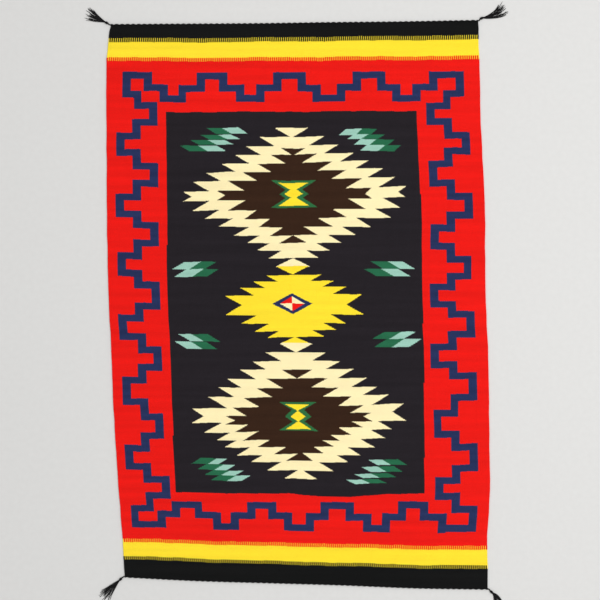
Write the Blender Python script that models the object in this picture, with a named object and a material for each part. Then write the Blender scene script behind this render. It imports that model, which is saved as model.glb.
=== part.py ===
"""Hand-woven wool floor rug: one flat panel, a twined cord along each end, four corner tassels.

Metres, +Z up. The rug lies flat on z = 0 with its length along Y. Everything is modelled about
the middle of the weave and then moved so that the origin is under the centre of its box.
"""
import math

import bmesh
import bpy
from mathutils import Vector

for leftover in list(bpy.data.objects):
    bpy.data.objects.remove(leftover, do_unlink=True)

# The weave is beaten tight, so the panel is stiff and of one thickness.
PANEL_THICKNESS = 0.004
PIECE_GAP = 0.0003

# Half breadths of the two-ply end cord's oval section, and the length of one half turn of it.
CORD_HALF_WIDTH = 0.0034
CORD_HALF_DEPTH = 0.0021
CORD_HALF_TURN = 0.0182
CORD_SIDES = 6
CORD_RINGS_PER_HALF_TURN = 3

# The sides wander, as hand weaving does. Columns: y, left x, right x.
SIDE_EDGES = (
    (0.930, -0.600, 0.586),
    (0.912, -0.6035, 0.587),
    (0.890, -0.610, 0.5885),
    (0.840, -0.616, 0.588),
    (0.760, -0.6205, 0.592),
    (0.610, -0.6205, 0.5945),
    (0.460, -0.6195, 0.602),
    (0.305, -0.619, 0.609),
    (0.150, -0.6165, 0.6095),
    (0.000, -0.6125, 0.612),
    (-0.150, -0.6045, 0.619),
    (-0.305, -0.599, 0.622),
    (-0.460, -0.590, 0.6234),
    (-0.610, -0.580, 0.625),
    (-0.760, -0.568, 0.616),
    (-0.860, -0.5625, 0.6175),
    (-0.930, -0.555, 0.618),
)
# The ends run a little out of square. Columns: share of the width, top y, bottom y.
END_EDGES = (
    (0.0, 0.911, -0.887),
    (0.2, 0.9125, -0.899),
    (0.4, 0.914, -0.906),
    (0.6, 0.9175, -0.913),
    (0.8, 0.920, -0.9226),
    (1.0, 0.9245, -0.9265),
)
SIDE_STATIONS = 44
END_STATIONS = 24
SIDE_WOBBLE = 0.0008
SIDE_WOBBLE_LENGTHS = (0.137, 0.093)

# One tassel at each corner. Angles are in degrees from +X, lengths in metres:
# corner, angle and length of the neck, angles of the first and last strand, how far the strands
# curl, how the strands crowd to the first one, the longest strand.
TASSELS = (
    ("top_left", 142.0, 0.010, 140.0, 178.0, -6.0, 1.5, 0.074),
    ("top_right", 60.0, 0.010, 18.0, -14.0, 40.0, 1.0, 0.086),
    ("bottom_left", 216.0, 0.010, 211.0, 241.0, 3.0, 1.5, 0.088),
    ("bottom_right", -50.0, 0.012, -14.0, -66.0, -56.0, 1.0, 0.056),
)
STRANDS = 9
STRAND_SEGMENTS = 7
STRAND_WIDTH = 0.0022
STRAND_HEIGHT = 0.0022
STRAND_TIP_SHARE = 0.55
STRAND_ROOM_SHARE = 0.72
STRAND_SHORTEST_SHARE = 0.74
STRAND_LENGTH_STRIDE = 5
KNOT_LENGTH = 0.011
KNOT_HALF_WIDTH = 0.0048
KNOT_HEIGHT = 0.0074
NECK_HALF_WIDTH = 0.0024
NECK_HEIGHT = 0.0040
EDGE_HEIGHT_SHARE = 0.45

MATERIALS = {
    "field_wool": {"colour": (0.62, 0.012, 0.010), "roughness": 0.9},
    "black_wool": {"colour": (0.010, 0.010, 0.011), "roughness": 0.92},
}


def smoothTable(table, at, column):
    """Read one column of a table between its rows, smoothly, with each row's slope from its neighbours."""
    rows = sorted(table)
    at = min(max(at, rows[0][0]), rows[-1][0])
    index = 0
    while index < len(rows) - 2 and at > rows[index + 1][0]:
        index += 1
    span = rows[index + 1][0] - rows[index][0]

    def slope(i):
        low = rows[max(i - 1, 0)]
        high = rows[min(i + 1, len(rows) - 1)]
        return (high[column] - low[column]) / (high[0] - low[0])

    t = (at - rows[index][0]) / span
    start, end = rows[index][column], rows[index + 1][column]
    return (
        (2 * t**3 - 3 * t**2 + 1) * start
        + (t**3 - 2 * t**2 + t) * span * slope(index)
        + (3 * t**2 - 2 * t**3) * end
        + (t**3 - t**2) * span * slope(index + 1)
    )


def sideX(y, side):
    """Left (side 0) or right (side 1) edge of the weave at y."""
    wobble = 0.0
    for number, length in enumerate(SIDE_WOBBLE_LENGTHS):
        wobble += math.sin(2 * math.pi * y / length + 1.7 * number + 2.1 * side)
    return smoothTable(SIDE_EDGES, y, 1 + side) + SIDE_WOBBLE * wobble / len(SIDE_WOBBLE_LENGTHS)


def endPoints(end):
    """Points of the panel's top (end 0) or bottom (end 1) edge, from left to right."""
    inset = 2 * CORD_HALF_WIDTH + PIECE_GAP
    sign = -1 if end == 0 else 1
    corners = []
    for side in (0, 1):
        y = smoothTable(END_EDGES, float(side), 1 + end) + sign * inset
        corners.append(Vector((sideX(y, side), y, 0.0)))
    points = []
    for station in range(END_STATIONS + 1):
        share = station / END_STATIONS
        x = corners[0].x + (corners[1].x - corners[0].x) * share
        points.append(Vector((x, smoothTable(END_EDGES, share, 1 + end) + sign * inset, 0.0)))
    return points


def sidePoints(side, top, bottom):
    """Points of one side edge between the two corner heights, top to bottom, corners left out."""
    points = []
    for station in range(1, SIDE_STATIONS):
        y = top + (bottom - top) * station / SIDE_STATIONS
        points.append(Vector((sideX(y, side), y, 0.0)))
    return points


def makeMaterial(name):
    look = MATERIALS[name]
    material = bpy.data.materials.new(name)
    material.use_nodes = True
    shader = material.node_tree.nodes["Principled BSDF"]
    shader.inputs["Base Color"].default_value = (*look["colour"], 1.0)
    shader.inputs["Roughness"].default_value = look["roughness"]
    shader.inputs["Metallic"].default_value = 0.0
    return material


def makeObject(name, mesh, material):
    mesh.materials.append(material)
    piece = bpy.data.objects.new(name, mesh)
    bpy.context.scene.collection.objects.link(piece)
    return piece


def meshFrom(name, build):
    """Run a bmesh builder and return its closed mesh with the faces pointing out."""
    shape = bmesh.new()
    build(shape)
    bmesh.ops.recalc_face_normals(shape, faces=shape.faces)
    mesh = bpy.data.meshes.new(name)
    shape.to_mesh(mesh)
    shape.free()
    return mesh


def makePanel(material):
    """The flat weave: its outline raised by its thickness."""
    top, bottom = endPoints(0), endPoints(1)
    outline = list(top)
    outline += sidePoints(1, top[-1].y, bottom[-1].y)
    outline += list(reversed(bottom))
    outline += list(reversed(sidePoints(0, top[0].y, bottom[0].y)))

    def build(shape):
        base = shape.faces.new([shape.verts.new(point) for point in outline])
        raised = bmesh.ops.extrude_face_region(shape, geom=[base])["geom"]
        lifted = [item for item in raised if isinstance(item, bmesh.types.BMVert)]
        bmesh.ops.translate(shape, verts=lifted, vec=(0.0, 0.0, PANEL_THICKNESS))

    return makeObject("rug_panel", meshFrom("rug_panel", build), material)


def bridgeRings(shape, rings):
    """Skin a list of rings of points into one closed body."""
    loops = [[shape.verts.new(point) for point in ring] for ring in rings]
    count = len(loops[0])
    for first, second in zip(loops, loops[1:]):
        for side in range(count):
            following = (side + 1) % count
            shape.faces.new((first[side], first[following], second[following], second[side]))
    shape.faces.new(list(reversed(loops[0])))
    shape.faces.new(loops[-1])


def alongPolyline(points, distance):
    """Point and direction at a distance along straight stretches."""
    for start, end in zip(points, points[1:]):
        stretch = (end - start).length
        if distance <= stretch or end is points[-1]:
            direction = (end - start).normalized()
            return start + direction * distance, direction
        distance -= stretch


def makeEndCord(name, end, material):
    """Two-ply cord against the panel's end: an oval section that turns as it runs."""
    offset = CORD_HALF_WIDTH + PIECE_GAP
    outward = Vector((0.0, 1.0 if end == 0 else -1.0, 0.0))
    route = [point + outward * offset for point in endPoints(end)]
    length = sum((b - a).length for a, b in zip(route, route[1:]))
    ringCount = round(length / CORD_HALF_TURN) * CORD_RINGS_PER_HALF_TURN
    rings = []
    for number in range(ringCount + 1):
        centre, direction = alongPolyline(route, length * number / ringCount)
        across = Vector((-direction.y, direction.x, 0.0))
        turn = math.pi * number / CORD_RINGS_PER_HALF_TURN
        ring = []
        for side in range(CORD_SIDES):
            angle = 2 * math.pi * side / CORD_SIDES
            wide = CORD_HALF_WIDTH * math.cos(angle)
            deep = CORD_HALF_DEPTH * math.sin(angle)
            sideways = wide * math.cos(turn) - deep * math.sin(turn)
            upward = wide * math.sin(turn) + deep * math.cos(turn)
            ring.append(centre + across * sideways + Vector((0.0, 0.0, upward)))
        rings.append(ring)
    lowest = min(point.z for ring in rings for point in ring)
    rings = [[point - Vector((0.0, 0.0, lowest)) for point in ring] for ring in rings]
    mesh = meshFrom(name, lambda shape: bridgeRings(shape, rings))
    return makeObject(name, mesh, material)


def headRing(centre, angle, halfWidth, height):
    """A flat-bottomed ring across the tassel: top points one way, floor points back."""
    across = Vector((-math.sin(angle), math.cos(angle), 0.0))
    top, floor = [], []
    for column in range(STRANDS + 1):
        share = 2 * column / STRANDS - 1
        rise = EDGE_HEIGHT_SHARE + (1 - EDGE_HEIGHT_SHARE) * math.sqrt(max(0.0, 1 - share**2))
        place = centre + across * halfWidth * share
        top.append(place + Vector((0.0, 0.0, height * rise)))
        floor.append(place.copy())
    return top, floor


def strandWalk(shape, corners, root, settings):
    """Carry one strand out from its four root corners along its own curve."""
    place = root.copy()
    step = settings["length"] / STRAND_SEGMENTS
    previous = corners
    for segment in range(1, STRAND_SEGMENTS + 1):
        share = segment / STRAND_SEGMENTS
        heading = settings["angle"] + settings["curl"] * share
        place = place + step * Vector((math.cos(heading), math.sin(heading), 0.0))
        room = settings["rootRoom"] + share * settings["length"] * settings["spread"]
        taper = 1 - (1 - STRAND_TIP_SHARE) * share**3
        half = 0.5 * min(STRAND_WIDTH, STRAND_ROOM_SHARE * room) * taper
        across = Vector((-math.sin(heading), math.cos(heading), 0.0)) * half
        lift = Vector((0.0, 0.0, STRAND_HEIGHT * taper))
        spots = (place - across, place + across, place + across + lift, place - across + lift)
        following = [shape.verts.new(spot) for spot in spots]
        for side in range(4):
            other = (side + 1) % 4
            shape.faces.new((previous[side], previous[other], following[other], following[side]))
        previous = following
    shape.faces.new(previous)


def makeTassel(row, cordEnds, material):
    """Neck, flat knot and fanned strands in one body, lying on the floor."""
    corner, neckAngle, neckLength, first, last, curl, crowd, longest = row
    start, outward = cordEnds[corner]
    flip = 1 if math.sin(math.radians(last - first)) > 0 else -1
    base = math.radians(0.0 if outward > 0 else 180.0)
    neck = math.radians(neckAngle)
    mouth = math.radians((first + last) / 2)

    def build(shape):
        place = start + Vector((outward * PIECE_GAP, 0.0, 0.0))
        rings = [headRing(place, base, flip * NECK_HALF_WIDTH, NECK_HEIGHT)]
        stations = (
            (neckLength / 2, (base + neck) / 2, 1.0, 0.0),
            (neckLength / 2, neck, 1.0, 0.1),
            (KNOT_LENGTH * 0.25, (2 * neck + mouth) / 3, 1.0, 0.75),
            (KNOT_LENGTH * 0.35, (neck + mouth) / 2, 1.0, 1.0),
            (KNOT_LENGTH * 0.40, mouth, 0.85, 0.55),
        )
        for advance, angle, widthShare, bulge in stations:
            place = place + advance * Vector((math.cos(angle), math.sin(angle), 0.0))
            halfWidth = NECK_HALF_WIDTH + (KNOT_HALF_WIDTH - NECK_HALF_WIDTH) * bulge
            height = NECK_HEIGHT + (KNOT_HEIGHT - NECK_HEIGHT) * bulge
            rings.append(headRing(place, angle, flip * halfWidth * widthShare, height))
        loops = []
        for top, floor in rings:
            loops.append([shape.verts.new(point) for point in top + list(reversed(floor))])
        count = len(loops[0])
        for one, two in zip(loops, loops[1:]):
            for side in range(count):
                following = (side + 1) % count
                shape.faces.new((one[side], one[following], two[following], two[side]))
        shape.faces.new(list(reversed(loops[0])))
        mouthLoop = loops[-1]
        for strand in range(STRANDS):
            share = (strand / (STRANDS - 1)) ** crowd
            mixed = (strand * STRAND_LENGTH_STRIDE) % STRANDS / (STRANDS - 1)
            corners = (
                mouthLoop[count - 1 - strand],
                mouthLoop[count - 2 - strand],
                mouthLoop[strand + 1],
                mouthLoop[strand],
            )
            root = (corners[0].co + corners[1].co) / 2
            crowdSlope = crowd * max(share, 0.25 / STRANDS) ** (1 - 1 / crowd)
            settings = {
                "angle": math.radians(first + (last - first) * share),
                "curl": math.radians(curl),
                "length": longest * (1 - (1 - STRAND_SHORTEST_SHARE) * mixed),
                "spread": math.radians(abs(last - first)) / (STRANDS - 1) * min(1.0, crowdSlope),
                "rootRoom": (corners[0].co - corners[1].co).length,
            }
            ordered = corners if flip > 0 else (corners[1], corners[0], corners[3], corners[2])
            strandWalk(shape, ordered, root, settings)

    name = "tassel_" + corner
    return makeObject(name, meshFrom(name, build), material)


def cordEndPlaces():
    """Where the end cords stop, and which way they point there."""
    offset = CORD_HALF_WIDTH + PIECE_GAP
    places = {}
    for end, label in enumerate(("top", "bottom")):
        outward = offset if end == 0 else -offset
        points = endPoints(end)
        places[label + "_left"] = (points[0] + Vector((0.0, outward, 0.0)), -1)
        places[label + "_right"] = (points[-1] + Vector((0.0, outward, 0.0)), 1)
    return places


def centreOnBox(pieces):
    """Move every piece so that the origin lies under the centre of the whole rug's box."""
    spots = [vertex.co for piece in pieces for vertex in piece.data.vertices]
    middleX = (min(spot.x for spot in spots) + max(spot.x for spot in spots)) / 2
    middleY = (min(spot.y for spot in spots) + max(spot.y for spot in spots)) / 2
    for piece in pieces:
        for vertex in piece.data.vertices:
            vertex.co -= Vector((middleX, middleY, 0.0))
    print("moved by", round(-middleX, 5), round(-middleY, 5))


def main():
    wool = {name: makeMaterial(name) for name in MATERIALS}
    pieces = [makePanel(wool["field_wool"])]
    pieces.append(makeEndCord("end_cord_top", 0, wool["black_wool"]))
    pieces.append(makeEndCord("end_cord_bottom", 1, wool["black_wool"]))
    cordEnds = cordEndPlaces()
    for row in TASSELS:
        pieces.append(makeTassel(row, cordEnds, wool["black_wool"]))
    centreOnBox(pieces)


main()
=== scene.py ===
import math

import bmesh
import bpy
import numpy as np
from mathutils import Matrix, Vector


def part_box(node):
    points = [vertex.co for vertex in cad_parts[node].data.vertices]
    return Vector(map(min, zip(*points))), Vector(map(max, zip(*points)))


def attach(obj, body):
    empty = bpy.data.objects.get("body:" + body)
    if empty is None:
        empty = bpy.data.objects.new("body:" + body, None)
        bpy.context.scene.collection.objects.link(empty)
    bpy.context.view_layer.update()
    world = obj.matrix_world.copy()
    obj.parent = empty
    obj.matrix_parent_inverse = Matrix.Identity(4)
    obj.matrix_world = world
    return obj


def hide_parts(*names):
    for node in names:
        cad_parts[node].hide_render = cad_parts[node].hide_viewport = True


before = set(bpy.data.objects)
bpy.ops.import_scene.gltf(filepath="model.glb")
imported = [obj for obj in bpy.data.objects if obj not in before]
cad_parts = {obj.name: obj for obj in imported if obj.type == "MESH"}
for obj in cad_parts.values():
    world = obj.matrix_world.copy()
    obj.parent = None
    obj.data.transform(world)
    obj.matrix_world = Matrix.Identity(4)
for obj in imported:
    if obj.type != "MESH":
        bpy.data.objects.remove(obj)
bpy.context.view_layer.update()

print("stage 1: packed model loaded")

# Outline of the rug: the sides wander and the ends run a little out of square.
outline = {
    "sideEdges": (  # y, left x, right x
        (0.930, -0.600, 0.586), (0.912, -0.6035, 0.587), (0.890, -0.610, 0.5885),
        (0.840, -0.616, 0.588), (0.760, -0.6205, 0.592), (0.610, -0.6205, 0.5945),
        (0.460, -0.6195, 0.602), (0.305, -0.619, 0.609), (0.150, -0.6165, 0.6095),
        (0.000, -0.6125, 0.612), (-0.150, -0.6045, 0.619), (-0.305, -0.599, 0.622),
        (-0.460, -0.590, 0.6234), (-0.610, -0.580, 0.625), (-0.760, -0.568, 0.616),
        (-0.860, -0.5625, 0.6175), (-0.930, -0.555, 0.618),
    ),
    "endEdges": (  # share of the width, top y, bottom y
        (0.0, 0.911, -0.887), (0.2, 0.9125, -0.899), (0.4, 0.914, -0.906),
        (0.6, 0.9175, -0.913), (0.8, 0.920, -0.9226), (1.0, 0.9245, -0.9265),
    ),
    "sideWobble": 0.0008,
    "wobbleLengths": (0.137, 0.093),
    "endCordWidth": 0.0068,
    "pieceGap": 0.0003,
    "sideStations": 44,
}


def smoothTable(table, at, column):  # a table read smoothly between its rows
    rows = sorted(table)
    at = min(max(at, rows[0][0]), rows[-1][0])
    index = 0
    while index < len(rows) - 2 and at > rows[index + 1][0]:
        index += 1
    span = rows[index + 1][0] - rows[index][0]

    def slope(i):
        low = rows[max(i - 1, 0)]
        high = rows[min(i + 1, len(rows) - 1)]
        return (high[column] - low[column]) / (high[0] - low[0])

    t = (at - rows[index][0]) / span
    start, end = rows[index][column], rows[index + 1][column]
    return (
        (2 * t**3 - 3 * t**2 + 1) * start
        + (t**3 - 2 * t**2 + t) * span * slope(index)
        + (3 * t**2 - 2 * t**3) * end
        + (t**3 - t**2) * span * slope(index + 1)
    )


def sideX(y, side):
    wobble = 0.0
    for number, length in enumerate(outline["wobbleLengths"]):
        wobble += math.sin(2 * math.pi * y / length + 1.7 * number + 2.1 * side)
    size = outline["sideWobble"] / len(outline["wobbleLengths"])
    return smoothTable(outline["sideEdges"], y, 1 + side) + size * wobble


def endY(share, end):
    return smoothTable(outline["endEdges"], share, 1 + end)


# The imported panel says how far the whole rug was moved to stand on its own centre.
endInset = outline["endCordWidth"] + outline["pieceGap"]
panelLow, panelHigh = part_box("rug_panel")
cornerTop, cornerBottom = endY(0.0, 0) - endInset, endY(0.0, 1) + endInset
stations = [
    cornerTop + (cornerBottom - cornerTop) * number / outline["sideStations"]
    for number in range(outline["sideStations"] + 1)
]
moveX = panelLow.x - min(sideX(y, 0) for y in stations)
moveY = panelHigh.y - (endY(1.0, 0) - endInset)
print("rug moved by", round(moveX, 4), round(moveY, 4))

# Fine samples of the edges, so that thousands of chart places are found at once.
samples = {"reach": 0.94, "rows": 1881, "shares": 201}
sampleY = np.linspace(-samples["reach"], samples["reach"], samples["rows"])
sampleLeft = np.array([sideX(y, 0) for y in sampleY])
sampleRight = np.array([sideX(y, 1) for y in sampleY])
sampleShare = np.linspace(0.0, 1.0, samples["shares"])
sampleTop = np.array([endY(share, 0) for share in sampleShare])
sampleBottom = np.array([endY(share, 1) for share in sampleShare])

# The weave's chart is counted in warps from the left edge and millimetres from the top edge.
weave = {
    "warps": 352,
    "length": 1830.0,
    "pick": 1.4,  # mm of one visible turn of weft over a warp
    "chartEnds": (  # share of the width, y of the chart's top and of its bottom
        (0.0, 0.912, -0.8905), (0.2, 0.911, -0.900), (0.4, 0.914, -0.908),
        (0.6, 0.9175, -0.9145), (0.8, 0.921, -0.922), (1.0, 0.924, -0.9255),
    ),
    "endMargin": 3.6,  # mm of weft hidden under each end cord's outer half
    "edgeTrim": (0.87, 0.86),  # warps of the chart that lie past the left and right edge
    "pointSpacing": 36.0,
    "shortestRib": 0.5,  # picks
    "swayLength": 85.0,
    "ribWidth": 0.00395,
    "ribThickness": 0.0040,
    "ribSides": 8,
    "slub": 0.035,
    "sway": 0.00010,
    "seed": 7,
    "tilt": (  # mm down the chart, how much lower the left edge lies than the right
        (0, 0), (160, -7), (420, 4), (560, 7), (765, -4), (820, -1), (861, 6), (920, 16),
        (1020, 22), (1200, 32), (1400, 26), (1560, 20), (1640, 10), (1760, 0), (1830, 0),
    ),
    "waves": ((97.0, 0.0040, 0.9), (41.0, 0.0110, 0.5), (23.0, 0.0230, 0.35)),
}
yarns = ("black", "yellow", "red", "navy", "charcoal", "cream", "brown", "green", "mint", "jade")
pickCount = int(round(weave["length"] / weave["pick"]))
chart = np.zeros((weave["warps"], pickCount), np.uint8)
chartWidth = weave["warps"] - sum(weave["edgeTrim"])
warpCentres = weave["edgeTrim"][0] + (np.arange(weave["warps"]) + 0.5) * chartWidth / weave["warps"]
tiltRows = np.array(weave["tilt"], float)
chartShares, chartTops, chartBottoms = zip(*weave["chartEnds"])
chartTop = np.interp(sampleShare, chartShares, chartTops)
chartBottom = np.interp(sampleShare, chartShares, chartBottoms)


def chartPlace(warp, drop):  # x and y of places on the chart
    share = np.clip(warp / weave["warps"], 0.0, 1.0)
    top = np.interp(share, sampleShare, chartTop)
    bottom = np.interp(share, sampleShare, chartBottom)
    y = top + (bottom - top) * drop / weave["length"]
    left = np.interp(y, sampleY, sampleLeft)
    right = np.interp(y, sampleY, sampleRight)
    return left + (right - left) * share + moveX, y + moveY


def ribEnds(warp):  # where the weft stops under the end cords, in mm down the chart
    share = warp / weave["warps"]
    top, bottom = np.interp(share, sampleShare, chartTop), np.interp(share, sampleShare, chartBottom)
    first = (np.interp(share, sampleShare, sampleTop) - top) / (bottom - top) * weave["length"]
    last = (np.interp(share, sampleShare, sampleBottom) - top) / (bottom - top) * weave["length"]
    return first + weave["endMargin"], last - weave["endMargin"]


def handWave(warp, drop):  # no woven line is quite straight
    return sum(
        size * math.sin(2 * math.pi * warp / length + drop * rate + 1.3 * size)
        for length, rate, size in weave["waves"]
    )


def leaning(warp, drop):
    tilt = np.interp(drop, tiltRows[:, 0], tiltRows[:, 1])
    return drop + tilt * (0.5 - warp / weave["warps"])


def paintShape(colour, corners, tilted=True):  # corners are (warp, mm); later shapes cover earlier ones
    index = yarns.index(colour)
    low = max(int(min(corner[0] for corner in corners) - 1), 0)
    high = min(int(max(corner[0] for corner in corners) + 1), weave["warps"] - 1)
    for number in range(low, high + 1):
        warp = warpCentres[number]
        crossings = []
        for (warpA, dropA), (warpB, dropB) in zip(corners, corners[1:] + corners[:1]):
            if (warpA <= warp) != (warpB <= warp):
                crossings.append(dropA + (dropB - dropA) * (warp - warpA) / (warpB - warpA))
        crossings.sort()
        for start, stop in zip(crossings[::2], crossings[1::2]):
            if tilted:
                start, stop = leaning(warp, start), leaning(warp, stop)
            first = int(round((start + handWave(warp, start)) / weave["pick"]))
            last = int(round((stop + handWave(warp, stop)) / weave["pick"]))
            chart[number, max(first, 0):max(last, 0)] = index


def paintBlock(colour, left, right, start, stop):
    paintShape(colour, [(left, start), (right, start), (right, stop), (left, stop)])


def paintBeads(colour, firstWarp, start, stop):
    for warp in warpCentres[firstWarp::2]:
        paintBlock(colour, warp - stripes["beadHalf"], warp + stripes["beadHalf"], start, stop)


# Striped ends, with beaded rows of alternate warps between the stripes.
stripes = {
    "bands": (
        ("black", -5, 54), ("yellow", 54, 118), ("red", 118, 1699),
        ("yellow", 1699, 1759), ("black", 1759, 1840),
    ),
    "beads": (  # the stripes' two colours, the start, middle and end of the bead row
        ("black", "yellow", 47.5, 54, 60.5), ("yellow", "red", 112.5, 118, 123.5),
        ("red", "yellow", 1693.5, 1699, 1704.5), ("yellow", "black", 1754, 1759, 1764),
    ),
    "beadHalf": 0.3,  # warps, so that a bead takes one warp
    "brightTurns": 0.86,
    "darkTurns": 1.22,
}
for colour, start, stop in stripes["bands"]:
    paintBlock(colour, -1, weave["warps"] + 1, start, stop)
for above, below, start, middle, stop in stripes["beads"]:
    paintBeads(below, 0, start, middle)
    paintBeads(above, 1, middle, stop)
# In a bead row the dark yarn swells over its bright neighbours.
plump = np.ones(chart.shape)
for above, below, start, middle, stop in stripes["beads"]:
    for number, warp in enumerate(warpCentres):
        first = int(round((leaning(warp, start) + handWave(warp, start)) / weave["pick"]))
        last = int(round((leaning(warp, stop) + handWave(warp, stop)) / weave["pick"]))
        bright = chart[number, first:last] == yarns.index("yellow")
        plump[number, first:last] = np.where(bright, stripes["brightTurns"], stripes["darkTurns"])

# The charcoal field inside the border.
field = {
    "colour": "charcoal",
    "corners": [
        (56.8, 289), (291.2, 289), (291.3, 461), (292.3, 620), (292.5, 900), (291.2, 1090), (290.5, 1319),
        (289.3, 1530), (276, 1531), (257, 1533), (238, 1538), (219, 1541), (205, 1542), (190, 1540),
        (162, 1533), (110, 1532), (54.8, 1531),
    ],
}
paintShape(field["colour"], field["corners"])

# Stepped meander: a line that steps in and out along each side and loops at the corners.
# Along the ends the strokes lie between posts; down the sides the posts stand between strokes.
meander = {
    "colour": "navy",
    "halfWarps": 3.95,
    "halfDrop": 11.3,
    "topPosts": (40, 54.5, 72, 89, 110.5, 126, 145, 161, 184.3, 198, 220.4, 235.4, 258.2, 272.2, 291.8, 307.6),
    "topStrokes": (212, 246.5, 212, 172, 212, 246.5, 212, 172, 212, 246.5, 212, 172, 212, 246.5, 212, 172),
    "bottomPosts": (39.5, 54, 75, 92.5, 109, 125, 145, 160.5, 181, 195, 219, 235.5, 254, 268.5, 289, 307.5),
    "bottomStrokes": (
        1606, 1573, 1606, 1643, 1606, 1571.5, 1606, 1643, 1606, 1570, 1607.5, 1643, 1605, 1566.5, 1603, 1642,
    ),
    "leftPosts": (
        30.2, 44.3, 28.7, 14.0, 28.7, 44.3, 28.7, 12.7, 28.7, 44.6, 28.7, 13.8, 28.7, 44.3, 28.7, 12.5,
        29.5, 43.5, 28.7, 14.0, 29.5, 42.8, 28.7, 13.0, 28.7, 45.7, 29.2, 14.3,
    ),
    "leftStrokes": (
        270, 324.5, 368.5, 422, 467, 522.5, 568, 625, 661, 720.5, 765.5, 820.5, 856, 921.5, 960, 1019.5,
        1062, 1118, 1159.5, 1230, 1279.5, 1342.5, 1385, 1445, 1489.5, 1543, 1587,
    ),
    "rightPosts": (
        319.8, 304.2, 320.7, 336.5, 319.7, 304.3, 320.0, 336.5, 319.2, 304.1, 319.2, 334.7, 319.7, 303.5, 319.4, 336.4,
        318.6, 301.3, 318.4, 336.5, 318.8, 302.9, 319.7, 336.0, 319.2, 303.5, 319.2, 336.1,
    ),
    "rightStrokes": (
        274, 325, 371.5, 422.5, 463.5, 526.5, 569, 628, 669, 726, 767, 822.5, 860, 919, 953, 1018.5,
        1059.5, 1118.5, 1155, 1225, 1275, 1341.5, 1384, 1451, 1488.5, 1539, 1581.5,
    ),
    "loops": (
        ((30.2, 270), (30.2, 233), (19.6, 233), (19.6, 172), (40, 172), (40, 212)),
        ((319.8, 274), (319.8, 234), (331.8, 234), (331.8, 172), (307.6, 172), (307.6, 212)),
        ((14.3, 1587), (14.3, 1643), (39.5, 1643), (39.5, 1606)),
        ((336.1, 1581.5), (336.1, 1639), (307.5, 1639), (307.5, 1603)),
    ),
}


def paintLine(colour, points, halfWarps, halfDrop):
    for (warpA, dropA), (warpB, dropB) in zip(points, points[1:]):
        left, right = min(warpA, warpB) - halfWarps, max(warpA, warpB) + halfWarps
        top, bottom = min(dropA, dropB) - halfDrop, max(dropA, dropB) + halfDrop
        paintBlock(colour, left, right, top, bottom)


def endSteps(posts, strokes):
    points = [(posts[0], strokes[0])]
    for post, stroke in zip(posts[1:], strokes[1:]):
        points += [(post, points[-1][1]), (post, stroke)]
    return points


def sideSteps(posts, strokes):
    points = [(posts[0], strokes[0])]
    for post, stroke in zip(posts[1:], strokes):
        points += [(points[-1][0], stroke), (post, stroke)]
    return points


meanderLines = [
    endSteps(meander["topPosts"], meander["topStrokes"]),
    endSteps(meander["bottomPosts"], meander["bottomStrokes"]),
    sideSteps(meander["leftPosts"], meander["leftStrokes"]),
    sideSteps(meander["rightPosts"], meander["rightStrokes"]),
    *meander["loops"],
]
for line in meanderLines:
    paintLine(meander["colour"], line, meander["halfWarps"], meander["halfDrop"])

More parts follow.
